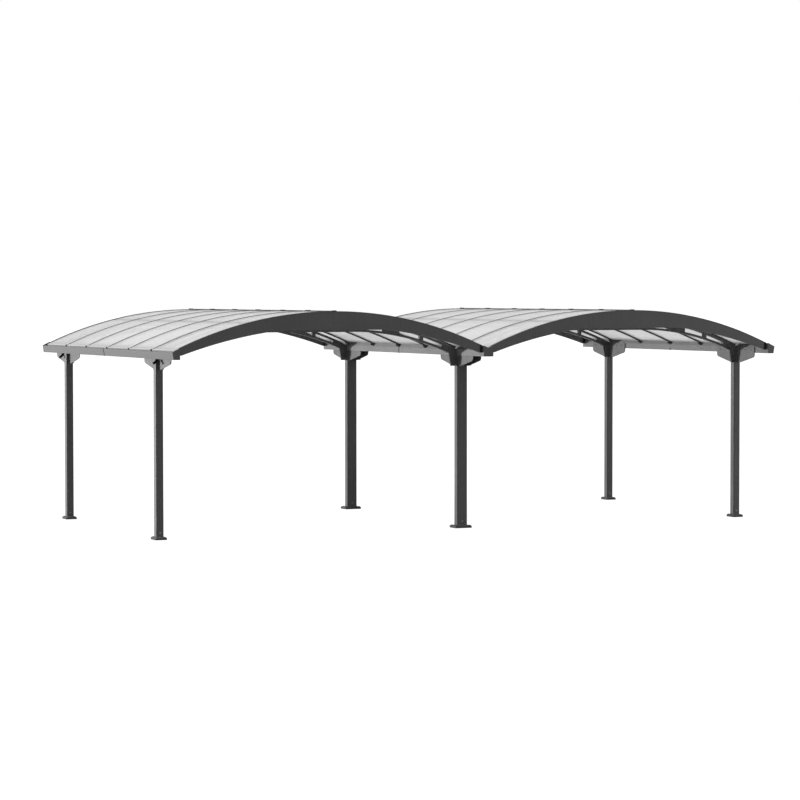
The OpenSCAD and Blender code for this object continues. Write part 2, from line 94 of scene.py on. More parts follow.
class Side(Enum):
    """Left or right of the middle gutter."""

    LEFT = -1
    RIGHT = 1


class Row(Enum):
    """Front or rear end."""

    FRONT = -1
    REAR = 1


class Slot(Enum):
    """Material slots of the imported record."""

    COAT = "powder_coat"
    RUBBER = "black_rubber"
    PLASTIC = "black_plastic"


@dataclass(frozen=True)
class Carport:
    """The main sizes that the sub-assemblies share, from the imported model's boxes."""

    roof_r: float = 4.140
    bay: float = 0.700
    gutter_bottom_w: float = 0.070
    gutter_lean: float = 0.013
    gutter_lip_h: float = 0.077
    gutter_wall_h: float = 0.065

    @property
    def crest_z(self) -> float:
        """Height of the roofs' crest."""
        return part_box("fascia_front_left_outer")[1].z

    @property
    def arch_x(self) -> float:
        """Distance from the middle gutter to each arch's centre."""
        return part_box("fascia_front_right_outer")[0].x

    @property
    def axis_z(self) -> float:
        """Height of the line that both roofs' arcs are drawn about."""
        return self.crest_z - self.roof_r

    @property
    def fascia_face_y(self) -> float:
        """Distance from the origin to the fascias' outer faces."""
        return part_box("fascia_rear_left_outer")[1].y

    def arc_z(self, radius: float, u: float) -> float:
        """Returns the height on an arc of the roofs, at a distance from the arch's centre."""
        return self.axis_z + math.sqrt(radius * radius - u * u)

    def axis(self, side: Side) -> Vector:
        """Returns the middle of the line that one arch is drawn about."""
        return Vector((side.value * self.arch_x, 0.0, self.axis_z))

    def row_y(self, row: Row) -> float:
        """Returns the place of a row of posts along Y."""
        low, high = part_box(f"post_{row.name.lower()}_right")
        return (low.y + high.y) / 2

    def quarters(self) -> Iterator[tuple[Side, Row]]:
        """Goes through the four quarters of the carport.

        Yields:
            Each side with each end.
        """
        for side in Side:
            for row in Row:
                yield side, row

    def on_fascia(self, side: Side, row: Row, u: float, radius: float) -> Vector:
        """Returns a point on a fascia's outer face, on an arc of the roofs."""
        x = side.value * self.arch_x + u
        return Vector((x, row.value * self.fascia_face_y, self.arc_z(radius, u)))


class Value:
    """A shader socket that Python's operators work on."""

    def __init__(self, graph: "Graph", socket: bpy.types.NodeSocket) -> None:
        """Keeps the graph and the socket."""
        self.graph = graph
        self.socket = socket

    def _math(self, operation: str, *operands: Operand) -> "Value":
        """Adds one Math node."""
        inputs = dict(enumerate(operands))
        return self.graph.value("ShaderNodeMath", {"operation": operation}, inputs)

    def __add__(self, other: Operand) -> "Value":
        """Returns self + other."""
        return self._math("ADD", self, other)

    def __sub__(self, other: Operand) -> "Value":
        """Returns self - other."""
        return self._math("SUBTRACT", self, other)

    def __rsub__(self, other: Operand) -> "Value":
        """Returns other - self."""
        return self._math("SUBTRACT", other, self)

    def __mul__(self, other: Operand) -> "Value":
        """Returns self * other."""
        return self._math("MULTIPLY", self, other)

    def __pow__(self, power: Operand) -> "Value":
        """Returns self raised to power."""
        return self._math("POWER", self, power)

    __radd__ = __add__
    __rmul__ = __mul__

    def biggest(self, other: Operand) -> "Value":
        """Returns the larger of the two."""
        return self._math("MAXIMUM", self, other)

    def size(self) -> "Value":
        """Returns the value without its sign."""
        return self._math("ABSOLUTE", self)

    def sine(self) -> "Value":
        """Returns the sine of the value."""
        return self._math("SINE", self)

    def rising(self, start: float, end: float) -> "Value":
        """Returns a smooth step of the value, from 0 at the start to 1 at the end."""
        inputs = {"Value": self, "From Min": start, "From Max": end}
        return self.graph.value("ShaderNodeMapRange", {"interpolation_type": "SMOOTHSTEP"}, inputs)


class Graph:
    """The node tree of one material or world, built by calls."""

    def __init__(self, tree: bpy.types.NodeTree) -> None:
        """Starts from an empty tree."""
        self.tree = tree
        tree.nodes.clear()

    def node(
        self, kind: str, settings: dict | None = None, inputs: dict | None = None
    ) -> bpy.types.Node:
        """Adds one node.

        Args:
            kind: The node's type.
            settings: What is set on the node itself, before its sockets.
            inputs: Values or links of its sockets, by name or by place.

        Returns:
            The node.
        """
        made = self.tree.nodes.new(kind)
        for name, setting in (settings or {}).items():
            setattr(made, name, setting)
        for name, given in (inputs or {}).items():
            if isinstance(given, Value):
                self.tree.links.new(given.socket, made.inputs[name])
            else:
                made.inputs[name].default_value = given
        return made

    def value(
        self,
        kind: str,
        settings: dict | None = None,
        inputs: dict | None = None,
        output: int | str = 0,
    ) -> Value:
        """Adds one node, and returns the output that is wanted, wrapped."""
        return Value(self, self.node(kind, settings, inputs).outputs[output])

    def mix(self, factor: Operand, low: "Value | Colour", high: "Value | Colour") -> Value:
        """Mixes two colours.

        Args:
            factor: The share of the second colour.
            low: The first colour.
            high: The second colour.

        Returns:
            The mixed colour.
        """
        ends = {6: low, 7: high}
        inputs = {key: end if isinstance(end, Value) else (*end, 1.0) for key, end in ends.items()}
        return self.value("ShaderNodeMix", {"data_type": "RGBA"}, {0: factor, **inputs}, 2)

    def place(self, scale: Triple = (1.0, 1.0, 1.0)) -> Value:
        """Returns the point on the object in metres, scaled along each axis."""
        point = self.value("ShaderNodeTexCoord", output="Object")
        return self.value("ShaderNodeVectorMath", {"operation": "MULTIPLY"}, {0: point, 1: scale})

    def along(self, axis: str) -> Value:
        """Returns the point's distance along one axis, X, Y or Z."""
        return self.value("ShaderNodeSeparateXYZ", inputs={0: self.place()}, output=axis)

    def noise(self, scale: float, detail: float = 2.0, stretch: Triple = (1.0, 1.0, 1.0)) -> Value:
        """Returns a soft noise from 0 to 1, with that many features per metre."""
        inputs = {"Vector": self.place(stretch), "Scale": scale, "Detail": detail}
        return self.value("ShaderNodeTexNoise", inputs=inputs)

    def cells(self, scale: float) -> Value:
        """Returns distances in a cell pattern with that many cells per metre."""
        return self.value("ShaderNodeTexVoronoi", inputs={"Vector": self.place(), "Scale": scale})

    def bump(self, height: Value, distance: float, strength: float = 1.0) -> Value:
        """Returns the normal for a height from 0 to 1, where 1 is the distance in metres."""
        inputs = {"Height": height, "Distance": distance, "Strength": strength}
        return self.value("ShaderNodeBump", inputs=inputs)

    def principled(self, **inputs: "Value | float | tuple") -> Value:
        """Adds a Principled shader whose sockets are named with underscores."""
        sockets = {name.replace("_", " "): given for name, given in inputs.items()}
        return self.value("ShaderNodeBsdfPrincipled", inputs=sockets)

    def blend(self, factor: Operand, low: Value, high: Value) -> Value:
        """Mixes two shaders; factor is the share of the second."""
        return self.value("ShaderNodeMixShader", inputs={0: factor, 1: low, 2: high})


def facing_up(graph: Graph, start: float = 0.55, end: float = 0.85) -> Value:
    """Tells surfaces that face the sky, where the ribs' painted sheen is palest and dust settles.

    Args:
        graph: The material's nodes.
        start: Upward part of the normal that is still steep.
        end: Upward part of the normal that counts as level.

    Returns:
        1 where level, and 0 where steep.
    """
    normal = graph.value("ShaderNodeNewGeometry", output="Normal")
    up = graph.value("ShaderNodeSeparateXYZ", inputs={0: normal}, output="Z")
    return up.rising(start, end)


@dataclass(frozen=True)
class Finish:
    """A named surface finish; each kind draws its own nodes."""

    name: str = "finish"

    def draw(self, graph: Graph) -> Value:
        """Draws the finish's nodes and returns its shader."""
        raise NotImplementedError(self.name)

    def material(self) -> bpy.types.Material:
        """Finds the finish's material, or makes it on first use.

        Returns:
            The material.
        """
        found = bpy.data.materials.get(self.name)
        if found is not None:
            return found
        made = bpy.data.materials.new(self.name)
        made.use_nodes = True
        graph = Graph(made.node_tree)
        graph.node("ShaderNodeOutputMaterial", inputs={"Surface": self.draw(graph)})
        return made


@dataclass(frozen=True)
class PowderCoat(Finish):
    """Dark grey fine-textured powder coat on aluminium."""

    name: str = "powder_coat_satin"
    colour: Colour = (0.100, 0.100, 0.101)
    faded: Colour = (0.114, 0.114, 0.115)
    # Painted shade with grime: the colour that the coat darkens to near the ground.
    grime: Colour = (0.034, 0.033, 0.032)
    roughness: float = 0.47
    gloss: float = 0.12
    patch: float = 2.3
    streak: Triple = (38.0, 38.0, 1.4)
    grain: float = 650.0
    grain_depth: float = 0.00012
    fade: Pair = (0.36, 0.66)
    speckle: float = 0.12
    splash: Pair = (0.004, 0.035)
    splash_share: float = 0.75

    def draw(self, graph: Graph) -> Value:
        """Draws faded patches, rain streaks, fine grain and painted shade with grime near the
        ground.

        Args:
            graph: The material's nodes.

        Returns:
            The shader.
        """
        patches = graph.noise(self.patch, 4.0)
        streaks = graph.noise(1.0, 2.0, self.streak)
        grain = graph.noise(self.grain, 2.0)
        share = (patches * 0.6 + streaks * 0.4).rising(*self.fade)
        tone = self.tone(graph, share)
        # Painted contact shade with splash dirt: the coat darkens towards the ground, most on the
        # base plates.
        foot = 1.0 - graph.along("Z").rising(*self.splash)
        tone = graph.mix(foot * self.splash_share, tone, self.grime)
        speckle = grain.rising(0.30, 0.70) * self.speckle
        tone = graph.mix(speckle, tone, self.faded)
        return graph.principled(
            Base_Color=tone,
            Roughness=self.roughness + (share - 0.5) * 0.07 + foot * 0.2,
            Specular_IOR_Level=self.gloss,
            Normal=graph.bump(grain, self.grain_depth, 0.6),
        )

    def tone(self, graph: Graph, share: Value) -> Value:
        """Returns the coat's colour; share is that of the faded patches."""
        return graph.mix(share, self.colour, self.faded)


@dataclass(frozen=True)
class RibCoat(PowderCoat):
    """The same coat on the ribs, with painted sheen over the sheets, palest where it faces the
    sky.

    The painted sheen starts between the two radii in caps, about the roof's axis.
    """

    name: str = "powder_coat_painted_sheen"
    # Painted sheen colours of the caps: over the sheets, and where they also face up.
    over: Colour = (0.340, 0.340, 0.341)
    sky: Colour = (0.50, 0.50, 0.50)
    sky_share: float = 0.90
    caps: Pair = (4.125, 4.131)
    carport: Carport = Carport()

    def tone(self, graph: Graph, share: Value) -> Value:
        """Works out the coat's colour, with painted sheen: paler over the sheets, palest facing
        up.

        Args:
            graph: The material's nodes.
            share: How much a patch has faded, from 0 to 1.

        Returns:
            The colour.
        """
        # Painted reflection: the rib caps over the sheets are paler, and palest where they face
        # up.
        across = (graph.along("X").size() - self.carport.arch_x) ** 2.0
        rise = (graph.along("Z") - self.carport.axis_z) ** 2.0
        over = ((across + rise) ** 0.5).rising(*self.caps)
        tone = graph.mix(over, super().tone(graph, share), self.over)
        return graph.mix(facing_up(graph) * over * self.sky_share, tone, self.sky)


@dataclass(frozen=True)
class DustyCoat(PowderCoat):
    """The same coat on the gutters, painted paler to stand in for the brighter light on them."""

    name: str = "powder_coat_painted_light"
    # Painted light: paler than the posts' coat.
    colour: Colour = (0.166, 0.166, 0.167)
    faded: Colour = (0.187, 0.187, 0.188)


@dataclass(frozen=True)
class PaleTrim(PowderCoat):
    """Pale satin coat of the sheets' end channels, dusty where it faces the sky."""

    name: str = "pale_end_trim"
    colour: Colour = (0.68, 0.68, 0.68)
    faded: Colour = (0.72, 0.72, 0.72)
    sky: Colour = (0.42, 0.42, 0.42)
    roughness: float = 0.50

    def tone(self, graph: Graph, share: Value) -> Value:
        """Returns the coat's colour, darker with dust where it faces up."""
        return graph.mix(facing_up(graph), super().tone(graph, share), self.sky)


@dataclass(frozen=True)
class TwinWallSheet(Finish):
    """Clear twin-wall sheet, whose flutes run down the arc.

    Flute is the width of one flute. Band is where the darker tone along a joint starts and ends,
    on a wave that peaks at each joint. Eave is the same for the painted shade at the eaves, as
    distances from the crown. The shares say how strong each one is.
    """

    name: str = "twin_wall_sheet"
    body: Colour = (0.56, 0.56, 0.56)
    rib: Colour = (0.50, 0.50, 0.50)
    # Painted shade: the colour that the sheet darkens to near the eaves.
    grime: Colour = (0.17, 0.17, 0.168)
    glow: Colour = (0.86, 0.86, 0.86)
    flute: float = 0.0105
    flute_wall: Pair = (0.55, 0.98)
    flute_depth: float = 0.0002
    dust_patch: float = 1.7
    band: Pair = (0.905, 0.985)
    band_share: float = 0.80
    edge_dust: Colour = (0.31, 0.31, 0.31)
    see_through: float = 0.25
    let_through: float = 0.48
    roughness: float = 0.38
    ior: float = 1.58
    eave: Pair = (1.630, 1.745)
    eave_share: float = 0.45
    eave_shade: float = 0.7
    carport: Carport = Carport()

    def draw(self, graph: Graph) -> Value:
        """Draws flute walls, dust, darker joint bands, painted eave shade and light let through.

        Args:
            graph: The material's nodes.

        Returns:
            The shader.
        """
        wave = (graph.along("Y") * (math.tau / self.flute)).sine()
        wall = wave.rising(*self.flute_wall)
        dust = graph.noise(self.dust_patch, 4.0).rising(0.35, 0.70)
        tone = graph.mix(wall * 0.7, self.body, self.rib)
        tone = graph.mix(dust * 0.25, tone, self.rib)
        # A darker band along each joint, on faces that look up.
        seam = (graph.along("Y") * (math.tau / self.carport.bay) + math.pi / 2.0).sine()
        seam = seam.rising(*self.band) * facing_up(graph, 0.2, 0.6)
        tone = graph.mix(seam * self.band_share, tone, self.edge_dust)
        # Painted shade at the eaves: the sheet darkens near them.
        eave = self._from_crown(graph).rising(*self.eave)
        tone = graph.mix(eave * self.eave_share, tone, self.grime)
        normal = graph.bump(wave, self.flute_depth, 0.35)
        roughness = self.roughness + dust * 0.12
        skin = graph.principled(Base_Color=tone, Roughness=roughness, IOR=self.ior, Normal=normal)
        inside = graph.value(
            "ShaderNodeBsdfTranslucent", inputs={"Color": (*self.glow, 1.0), "Normal": normal}
        )
        clear = graph.value("ShaderNodeBsdfTransparent", inputs={"Color": WHITE})
        # Painted shade at the eaves: less light is let in and seen through near them.
        through = (self.let_through - wall * 0.08) * (1.0 - eave * self.eave_shade)
        lit = graph.blend(through, skin, inside)
        return graph.blend((self.see_through - wall * 0.05) * (1.0 - eave), lit, clear)

    def _from_crown(self, graph: Graph) -> Value:
        """Returns the distance across from the nearer arch's crown."""
        return (graph.along("X").size() - self.carport.arch_x).size()


@dataclass(frozen=True)
class BlackRubber(Finish):
    """Matt black weather rubber with a faint bloom."""

    name: str = "weather_rubber"
    colour: Colour = (0.014, 0.014, 0.015)
    bloom: Colour = (0.034, 0.034, 0.035)
    roughness: float = 0.85
    gloss: float = 0.10
    patch: float = 35.0
    pebble: float = 520.0
    pebble_depth: float = 0.0002

    def draw(self, graph: Graph) -> Value:
        """Draws bloom in patches over a fine pebble.

        Args:
            graph: The material's nodes.

        Returns:
            The shader.
        """
        patches = graph.noise(self.patch, 4.0).rising(0.40, 0.72)
        pebble = graph.cells(self.pebble)
        return graph.principled(
            Base_Color=graph.mix(patches * 0.6, self.colour, self.bloom),
            Roughness=self.roughness + patches * 0.12,
            Specular_IOR_Level=self.gloss,
            Normal=graph.bump(pebble, self.pebble_depth, 0.5),
        )


@dataclass(frozen=True)
class BlackPlastic(Finish):
    """Moulded black plastic with a light spark texture."""

    name: str = "moulded_plastic"
    colour: Colour = (0.012, 0.012, 0.013)
    scuffed: Colour = (0.024, 0.024, 0.025)
    roughness: float = 0.85
    gloss: float = 0.03
    scuff: float = 60.0
    texture: float = 900.0
    texture_depth: float = 0.0001

    def draw(self, graph: Graph) -> Value:
        """Draws the mould's texture and light scuffs.

        Args:
            graph: The material's nodes.

        Returns:
            The shader.
        """
        scuffs = graph.noise(self.scuff, 5.0, (1.0, 1.0, 0.4)).rising(0.45, 0.75)
        texture = graph.noise(self.texture, 1.0)
        return graph.principled(
            Base_Color=graph.mix(scuffs * 0.5, self.colour, self.scuffed),
            Roughness=self.roughness + scuffs * 0.10,
            Specular_IOR_Level=self.gloss,
            Normal=graph.bump(texture, self.texture_depth, 0.5),
        )


@dataclass(frozen=True)
class ZincSteel(Finish):
    """Zinc-plated steel of the foot and purlin screws, dulled by weather."""

    name: str = "dull_zinc"
    colour: Colour = (0.30, 0.31, 0.32)
    dull: Colour = (0.15, 0.15, 0.155)
    roughness: float = 0.42
    metal: float = 0.85
    spangle: float = 260.0
    mark: float = 1500.0
    mark_depth: float = 0.00005

    def draw(self, graph: Graph) -> Value:
        """Draws dull patches like spangle, and fine turning marks.

        Args:
            graph: The material's nodes.

        Returns:
            The shader.
        """
        patches = graph.cells(self.spangle).rising(0.15, 0.75)
        marks = graph.noise(self.mark, 2.0, (1.0, 1.0, 0.2))
        return graph.principled(
            Base_Color=graph.mix(patches, self.colour, self.dull),
            Metallic=self.metal - patches * 0.25,
            Roughness=self.roughness + patches * 0.2,
            Normal=graph.bump(marks, self.mark_depth, 0.5),
        )


@dataclass(frozen=True)
class PaleFloor(Finish):
    """Pale floor: white where it is looked at, and darker for light that bounces off it."""

    name: str = "pale_floor"
    paint: Colour = (0.80, 0.80, 0.80)
    bounce: Colour = (0.20, 0.20, 0.20)
    glow: float = 0.88
    shade: float = 0.12

    def draw(self, graph: Graph) -> Value:
        """Draws a glow for rays that see it, which the shadow still darkens a little.

        Args:
            graph: The material's nodes.

        Returns:
            The shader.
        """
        seen = seen_rays(graph)
        glow = graph.value("ShaderNodeEmission", inputs={"Color": WHITE, "Strength": 1.0})
        painted = graph.value("ShaderNodeBsdfDiffuse", inputs={"Color": (*self.paint, 1.0)})
        bounced = graph.value("ShaderNodeBsdfDiffuse", inputs={"Color": (*self.bounce, 1.0)})
        lit = graph.blend(self.glow, painted, glow)
        white = graph.value("ShaderNodeAddShader", inputs={0: lit, 1: painted})
        return graph.blend(seen, bounced, graph.blend(self.shade, glow, white))


def seen_rays(graph: Graph) -> Value:
    """Tells camera, glossy and transmission rays from the others.

    Args:
        graph: The material's nodes.

    Returns:
        1 for those rays, and 0 for the others.
    """
    path = graph.node("ShaderNodeLightPath")
    kinds = ("Camera", "Glossy", "Transmission")
    rays = [Value(graph, path.outputs[f"Is {kind} Ray"]) for kind in kinds]
    return rays[0].biggest(rays[1]).biggest(rays[2])


@dataclass(frozen=True)
class Finishes:
    """All finishes of the carport."""

    coat: Finish = PowderCoat()
    bleached: Finish = RibCoat()
    dusty: Finish = DustyCoat()
    trim: Finish = PaleTrim()
    sheet: Finish = TwinWallSheet()
    rubber: Finish = BlackRubber()
    plastic: Finish = BlackPlastic()
    steel: Finish = ZincSteel()


def facing(at: Vector, normal: Vector) -> Matrix:
    """Returns the placing matrix whose origin is at a point and whose Z is along a normal."""
    return Matrix.Translation(at) @ normal.to_track_quat("Z", "Y").to_matrix().to_4x4()


def radial(way: int, angle: float) -> Vector:
    """Returns the direction out of an arc, at an angle from its crown to the way's side."""
    return Vector((way * math.sin(angle), 0.0, math.cos(angle)))


class Form:
    """Collects solids, and makes one object of them."""

    def __init__(self) -> None:
        """Starts with no faces."""
        self.bm = bmesh.new()

    def _stitch(self, low: Sequence[Corner], high: Sequence[Corner]) -> None:
        """Joins two rings, either of which may be one point.

        Args:
            low: Corners of the first ring.
            high: Corners of the second ring.
        """
        count = max(len(low), len(high))
        for i in range(count):
            j = (i + 1) % count
            lower = [low[k % len(low)] for k in (i, j)]
            upper = [high[k % len(high)] for k in (j, i)]
            self.bm.faces.new(list(dict.fromkeys(lower + upper)))

    def turn(self, profile: Sequence[Pair], sides: int, place: Matrix) -> None:
        """Adds a solid of revolution.

        Args:
            profile: Radius and height of each ring, from the bottom up.
            sides: Number of sides.
            place: Where the solid goes.
        """
        rings = []
        for radius, height in profile:
            turns = range(sides if radius > 0 else 1)
            angles = [math.tau * (i + 0.5) / sides for i in turns]
            points = [Vector((radius * math.cos(a), radius * math.sin(a), height)) for a in angles]
            rings.append([self.bm.verts.new(place @ point) for point in points])
        for low, high in zip(rings, rings[1:]):
            self._stitch(low, high)

    def skin(self, sections: Sequence[Sequence[Vector]], closed: bool) -> None:
        """Adds a solid through a row of like sections.

        Args:
            sections: The sections' corners, all in one order.
            closed: Whether the last section joins the first; otherwise both ends are filled.
        """
        rings = [[self.bm.verts.new(point) for point in section] for section in sections]
        for low, high in zip(rings, rings[1:] + (rings[:1] if closed else [])):
            self._stitch(low, high)
        if not closed:
            self.bm.faces.new(list(reversed(rings[0])))
            self.bm.faces.new(rings[-1])

    def make(self, name: str, finish: Finish, slot: Slot | None = None) -> bpy.types.Object:
        """Makes the object, paints it and lets it ride.

        Args:
            name: The piece's name.
            finish: Its finish.
            slot: The record's slot that the finish stands for; not used.

        Returns:
            The object.
        """
        bmesh.ops.recalc_face_normals(self.bm, faces=self.bm.faces)
        mesh = bpy.data.meshes.new(name)
        self.bm.to_mesh(mesh)
        self.bm.free()
        mesh.materials.append(finish.material())
        made = bpy.data.objects.new(name, mesh)
        bpy.context.scene.collection.objects.link(made)
        mesh.set_sharp_from_angle(angle=SMOOTH_ANGLE)
        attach(made, BODY)
        log.info("piece %s: %d faces", name, len(mesh.polygons))
        return made


@dataclass(frozen=True)
class PanScrew:
    """A pan-head screw with a round recess and a thin washer."""

    radius: float = 0.0062
    height: float = 0.0038
    washer: float = 0.0085

    def add(self, form: Form, at: Vector, normal: Vector) -> None:
        """Adds the screw's head to a form.

        Args:
            form: The form that takes it.
            at: The point on the surface.
            normal: The surface's direction.
        """
        r, h = self.radius, self.height
        washer = [(0.0, -0.0004), (self.washer, -0.0004), (self.washer, 0.0007), (r, 0.0011)]
        dome = [(r, 0.0016), (r * 0.93, h * 0.62), (r * 0.74, h * 0.90), (r * 0.46, h)]
        recess = [(r * 0.40, h * 0.98), (r * 0.34, h * 0.55), (0.0, h * 0.50)]
        form.turn(washer + dome + recess, 18, facing(at, normal))


@dataclass(frozen=True)
class HexBolt:
    """A hexagon bolt's head on a washer."""

    across: float = 0.013
    head: float = 0.0055
    washer: float = 0.010
    washer_t: float = 0.002
    flat_r: float = 0.0045

    def add(self, form: Form, at: Vector, normal: Vector) -> None:
        """Adds the bolt to a form.

        Args:
            form: The form that takes it.
            at: The point on the surface.
            normal: The surface's direction.
        """
        place = facing(at, normal)
        rise = self.washer_t
        corner = self.across / math.sqrt(3.0)
        ring = [(0.0, -0.0004), (self.washer, -0.0004), (self.washer, rise * 0.7)]
        form.turn([*ring, (self.washer - 0.0006, rise), (0.0, rise)], 24, place)
        top = rise + self.head
        body = [(0.0, rise - 0.0005), (corner * 0.95, rise), (corner, rise + 0.0007)]
        crown = [(corner, top - 0.0011), (corner * 0.87, top), (self.flat_r, top)]
        form.turn([*body, *crown, (0.0, top - 0.0004)], 6, place)


@dataclass
class Assembly:
    """A sub-assembly: it dresses its own nodes and adds its own pieces."""

    carport: Carport
    finishes: Finishes

    def dress(self, nodes: Sequence[str], finish: Finish, edge: float = 0.0) -> None:
        """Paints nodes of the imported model.

        Args:
            nodes: Their names.
            finish: The finish they get.
            edge: Radius of the softened edges, 0 for none.
        """
        for name in nodes:
            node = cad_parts[name]
            for place in node.material_slots:
                place.material = finish.material()
            if edge > 0.0:
                self._soften(node, edge)
            log.info("node %s: %s", name, finish.name)

    def _soften(self, node: bpy.types.Object, edge: float) -> None:
        """Rounds a node's edges with modifiers, which leave its mesh as it is.

        Args:
            node: The node.
            edge: Radius of the rounding.
        """
        weld = node.modifiers.new("weld", "WELD")
        weld.merge_threshold = WELD_GAP
        bevel = node.modifiers.new("edges", "BEVEL")
        bevel.width = edge
        bevel.segments = 2
        bevel.limit_method = "ANGLE"
        bevel.angle_limit = BEVEL_ANGLE
        bevel.use_clamp_overlap = True
        node.modifiers.new("normals", "WEIGHTED_NORMAL")

    def build(self) -> None:
        """Dresses the nodes and adds the pieces."""
        raise NotImplementedError(type(self).__name__)


@dataclass
class Posts(Assembly):
    """Six posts on bevelled base plates."""

    names: tuple[str, ...] = named("post_{}_{}", ROWS, COLUMNS)
    plates: tuple[str, ...] = named("base_plates_{}", ROWS)
    plate_edge_r: float = 0.0012
    corner_r: float = 0.010
    bead: float = 0.006
    bead_steps: int = 160
    ripple: float = 0.08
    ripple_pace: float = 2.4
    outer_bolts: Pair = (0.043, 0.059)
    middle_bolts: Pair = (0.078, 0.059)
    anchor: PanScrew = PanScrew(radius=0.0085, height=0.0042, washer=0.0105)
    foot_screw: PanScrew = PanScrew()
    screw_rise: float = 0.045
    plate_top: float = 0.028

    def build(self) -> None:
        """Paints posts and plates, and adds weld beads, anchors and foot screws."""
        self.dress(self.names, self.finishes.coat)
        self.dress(self.plates, self.finishes.coat, self.plate_edge_r)
        beads, anchors, screws = Form(), Form(), Form()
        for name in self.names:
            low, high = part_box(name)
            self._bead(beads, low, high)
            centre = (low + high) / 2
            reach = self.middle_bolts if "middle" in name else self.outer_bolts
            self._anchors(anchors, centre, reach)
            for face in Row:
                y = high.y if face is Row.REAR else low.y
                at = Vector((centre.x, y, self.plate_top + self.screw_rise))
                self.foot_screw.add(screws, at, AXIS_Y * face.value)
        beads.make("post_weld_beads", self.finishes.coat, Slot.COAT)
        anchors.make("anchor_bolts", self.finishes.coat, Slot.COAT)
        screws.make("post_foot_screws", self.finishes.steel)

    def _bead(self, form: Form, low: Vector, high: Vector) -> None:
        """Adds a rippled weld bead round the foot of a post.

        Args:
            form: The form that takes it.
            low: The post's lowest corner.
            high: The post's highest corner.
        """
        half_x, half_y = (high.x - low.x) / 2, (high.y - low.y) / 2
        centre = (low + high) / 2
        sections = []
        for i in range(self.bead_steps):
            angle = math.tau * i / self.bead_steps
            point, out = self._round_corner(angle, half_x, half_y)
            size = self.bead * (1.0 - self.ripple + self.ripple * math.sin(i * self.ripple_pace))
            base = Vector((centre.x + point.x, centre.y + point.y, self.plate_top - 0.0005))
            sections.append(
                [
                    base - out * 0.001,
                    base + out * size,
                    base + out * size * 0.72 + AXIS_Z * size * 0.60,
                    base + out * size * 0.34 + AXIS_Z * size * 0.90,
                    base - out * 0.001 + AXIS_Z * (size + 0.0008),
                ]
            )
        form.skin(sections, closed=True)

    def _round_corner(self, angle: float, half_x: float, half_y: float) -> tuple[Vector, Vector]:
        """Point and outward direction on a rounded rectangle.

        Args:
            angle: Angle of the direction from the centre, on the unit circle.
            half_x: Half the width.
            half_y: Half the depth.

        Returns:
            The point and the direction.
        """
        way = Vector((math.cos(angle), math.sin(angle), 0.0))
        core = Vector((half_x - self.corner_r, half_y - self.corner_r, 0.0))
        reach = min(core.x / max(abs(way.x), 1e-6), core.y / max(abs(way.y), 1e-6))
        ring = way * (reach + self.corner_r * 0.4)
        held = Vector((max(-core.x, min(core.x, ring.x)), max(-core.y, min(core.y, ring.y)), 0.0))
        out = (ring - held).normalized() if (ring - held).length > 1e-7 else way
        return held + out * self.corner_r, out

    def _anchors(self, form: Form, centre: Vector, reach: Pair) -> None:
        """Adds the four low anchor heads of one plate.

        Args:
            form: The form that takes them.
            centre: The post's centre.
            reach: Distance of the bolts from it, across and along.
        """
        for side, row in self.carport.quarters():
            x = centre.x + side.value * reach[0]
            y = centre.y + row.value * reach[1]
            self.anchor.add(form, Vector((x, y, self.plate_top)), AXIS_Z)


@dataclass
class Brackets(Assembly):
    """Brackets on the posts, with wing plates under the gutters."""

    names: tuple[str, ...] = named("bracket_{}_{}", ROWS, COLUMNS)
    edge_r: float = 0.0012
    wing_screws: tuple[float, ...] = (-0.33, -0.20, 0.20, 0.33)
    wing_screw: PanScrew = PanScrew()
    wing_inset: float = 0.009
    screw_rise: float = 0.030
    gusset_bolts: Pair = (0.030, 0.072)
    gusset_half: float = 0.012
    bolt: HexBolt = HexBolt()
    bolt_inset: float = 0.042
    bolt_lean: float = 0.12

    def build(self) -> None:
        """Paints the brackets and adds their screws and bolts."""
        self.dress(self.names, self.finishes.coat, self.edge_r)
        screws, bolts = Form(), Form()
        for side, row in self.carport.quarters():
            self._outer(screws, side, row)
        for name in self.names:
            self._gussets(bolts, name)
        screws.make("wing_plate_screws", self.finishes.coat, Slot.COAT)
        bolts.make("gusset_bolts", self.finishes.coat, Slot.COAT)

    def _outer(self, form: Form, side: Side, row: Row) -> None:
        """Adds the screws through one outer wing plate into the gutter's wall.

        Args:
            form: The form that takes them.
            side: Which side of the carport.
            row: Which post row.
        """
        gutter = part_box(f"gutter_{side.name.lower()}_{row.name.lower()}")
        inner = gutter[0].x if side is Side.RIGHT else gutter[1].x
        face = inner - side.value * self.wing_inset
        z = gutter[0].z + self.screw_rise
        for offset in self.wing_screws:
            at = Vector((face, self.carport.row_y(row) + offset, z))
            self.wing_screw.add(form, at, AXIS_X * -side.value)

    def _gussets(self, form: Form, name: str) -> None:
        """Adds the bolts on both faces of a bracket's gussets.

        Args:
            form: The form that takes them.
            name: The bracket's node.
        """
        low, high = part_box(name)
        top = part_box(name.replace("bracket", "post"))[1].z
        middle_y = self.carport.row_y(Row.FRONT if "front" in name else Row.REAR)
        inward = [1, -1] if "middle" in name else [1 if "left" in name else -1]
        for way in inward:
            edge = high.x if way == 1 else low.x
            for rise in self.gusset_bolts:
                for face in Row:
                    x = edge - way * (self.bolt_inset - rise * self.bolt_lean)
                    at = Vector((x, middle_y + face.value * self.gusset_half, top + rise))
                    self.bolt.add(form, at, AXIS_Y * face.value)


